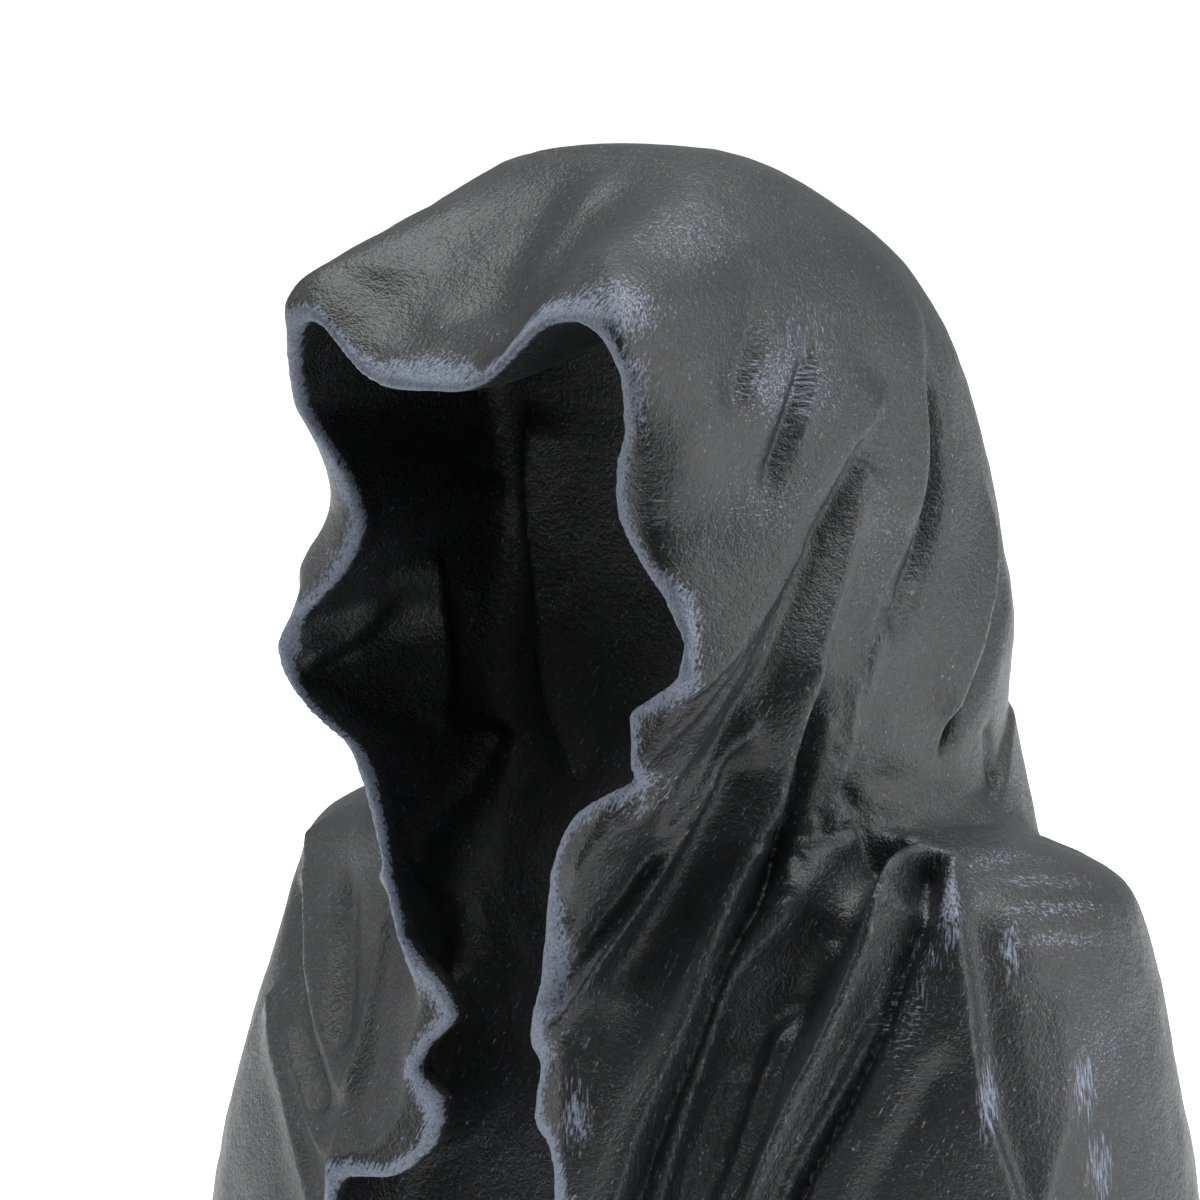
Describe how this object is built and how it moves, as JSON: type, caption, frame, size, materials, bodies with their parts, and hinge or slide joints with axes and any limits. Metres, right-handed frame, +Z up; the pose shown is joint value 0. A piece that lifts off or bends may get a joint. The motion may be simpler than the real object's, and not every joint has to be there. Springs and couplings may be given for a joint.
{
  "type": "hooded figure bust",
  "caption": "Faceless hooded figure, head and shoulders, with an empty cowl, a wavy open edge and draped shoulders, cut flat below to stand on a ledge or in a bed.",
  "frame": {"origin": "middle of the footprint, on the flat underside", "axes": "+Z up, the hood's opening faces -Y, the figure's left shoulder is towards +X"},
  "size_m": [0.0654, 0.0484, 0.067],
  "materials": {
    "black_painted_resin": "satin black paint over cast resin, edges dry-brushed in blue-grey"
  },
  "bodies": {
    "root": {"hooded_figure": "black_painted_resin"}
  },
  "joints": []
}
